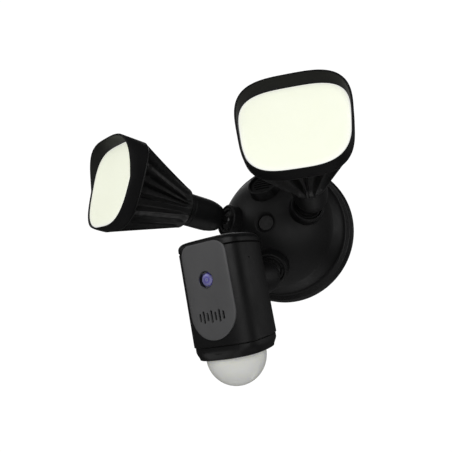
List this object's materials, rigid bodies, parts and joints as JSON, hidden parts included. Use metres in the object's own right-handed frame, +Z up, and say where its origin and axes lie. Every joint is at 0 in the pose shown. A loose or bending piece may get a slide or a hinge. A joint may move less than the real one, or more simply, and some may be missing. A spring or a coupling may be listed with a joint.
{
  "type": "floodlight security camera",
  "caption": "Wall-mounted outdoor security camera with two adjustable floodlight heads, a motion-sensing camera body and a siren on a round domed base.",
  "frame": {"origin": "centre of the base's back face, on the wall", "axes": "+X to the right as seen from in front, -Y out of the wall towards the viewer, +Z up; the wall is the plane y = 0"},
  "size_m": [0.2215, 0.1653, 0.1951],
  "materials": {
    "black_plastic": "satin black UV-stable moulding",
    "black_metal": "satin black powder coat on cast aluminium",
    "grey_plate": "fine satin dark grey",
    "diffuser": "translucent white lens, lightly frosted",
    "milky_plastic": "milky thin-walled sensor lens",
    "white_plastic": "white moulding",
    "lens_glass": "coated glass with a blue-violet reflection",
    "rubber": "black elastomer",
    "circuit_board": "green solder mask",
    "steel": "zinc-plated steel",
    "brass": "plain brass",
    "dark_component": "dark moulded component"
  },
  "bodies": {
    "base": {"base_shell": "black_plastic", "mounting_gasket": "rubber", "mounting_bracket": "steel", "ground_screw": "brass", "centre_bolt": "steel", "bolt_plug": "rubber", "terminal_block": "white_plastic", "driver_board": "circuit_board", "driver_transformer": "dark_component", "driver_capacitor": "dark_component", "siren_sounder": "dark_component", "siren_cap": "black_plastic", "right_lock_ring": "black_plastic", "left_lock_ring": "black_plastic", "camera_lock_ring": "black_plastic"},
    "right_stud": {"right_ball_stud": "black_metal", "right_stud_nut": "steel"},
    "right_neck": {"right_neck": "black_plastic", "right_ball_seat": "white_plastic"},
    "left_stud": {"left_ball_stud": "black_metal", "left_stud_nut": "steel"},
    "left_neck": {"left_neck": "black_plastic", "left_ball_seat": "white_plastic"},
    "camera_stud": {"camera_ball_stud": "black_metal", "camera_stud_nut": "steel"},
    "camera_arm": {"camera_arm": "black_plastic", "camera_ball_seat": "white_plastic"},
    "right_lamp": {"right_twist_sleeve": "brass", "right_heat_sink": "black_metal", "right_bezel": "black_plastic", "right_lens": "diffuser", "right_light_board": "white_plastic", "right_lens_gasket": "rubber", "right_reflector": "white_plastic"},
    "left_lamp": {"left_twist_sleeve": "brass", "left_heat_sink": "black_metal", "left_bezel": "black_plastic", "left_lens": "diffuser", "left_light_board": "white_plastic", "left_lens_gasket": "rubber", "left_reflector": "white_plastic"},
    "camera": {"camera_twist_sleeve": "brass", "camera_shell": "black_plastic", "front_plate": "grey_plate", "top_cap": "black_plastic", "bottom_cap": "black_plastic", "sensor_dome": "milky_plastic", "sensor_board": "circuit_board", "heat_sensor": "steel", "lens_window": "lens_glass", "lens_barrel": "dark_component", "image_sensor_board": "circuit_board", "main_board": "circuit_board", "speaker": "dark_component", "microphone": "dark_component", "radio_antenna": "circuit_board"}
  },
  "joints": [
    {"name": "right_swivel", "type": "hinge", "parent": "base", "child": "right_stud", "pos_m": [0.044, -0.0587, 0.0105], "axis": [0.5439, -0.829, 0.1298], "range_deg": [-90, 90]},
    {"name": "right_tilt", "type": "hinge", "parent": "right_stud", "child": "right_neck", "pos_m": [0.044, -0.0587, 0.0105], "axis": [-0.1879, -0.2711, -0.944], "range_deg": [-57, 10]},
    {"name": "right_twist", "type": "hinge", "parent": "right_neck", "child": "right_lamp", "pos_m": [0.044, -0.0587, 0.0105], "axis": [0.1786, -0.9546, 0.2385], "range_deg": [-90, 90]},
    {"name": "left_swivel", "type": "hinge", "parent": "base", "child": "left_stud", "pos_m": [-0.044, -0.0587, 0.0105], "axis": [-0.5439, -0.829, 0.1298], "range_deg": [-90, 90]},
    {"name": "left_tilt", "type": "hinge", "parent": "left_stud", "child": "left_neck", "pos_m": [-0.044, -0.0587, 0.0105], "axis": [-0.1331, 0.238, 0.9621], "range_deg": [-39, 28]},
    {"name": "left_twist", "type": "hinge", "parent": "left_neck", "child": "left_lamp", "pos_m": [-0.044, -0.0587, 0.0105], "axis": [-0.4656, -0.872, 0.1513], "range_deg": [-90, 90]},
    {"name": "camera_swivel", "type": "hinge", "parent": "base", "child": "camera_stud", "pos_m": [0, -0.0595, -0.0465], "axis": [0, -0.829, -0.5592], "range_deg": [-60, 60]},
    {"name": "camera_tilt", "type": "hinge", "parent": "camera_stud", "child": "camera_arm", "pos_m": [0, -0.0595, -0.0465], "axis": [-0.9559, 0.1643, -0.2436], "range_deg": [-59, 7.5]},
    {"name": "camera_twist", "type": "hinge", "parent": "camera_arm", "child": "camera", "pos_m": [0, -0.0595, -0.0465], "axis": [-0.129, -0.9795, -0.1547], "range_deg": [-45, 45]}
  ]
}
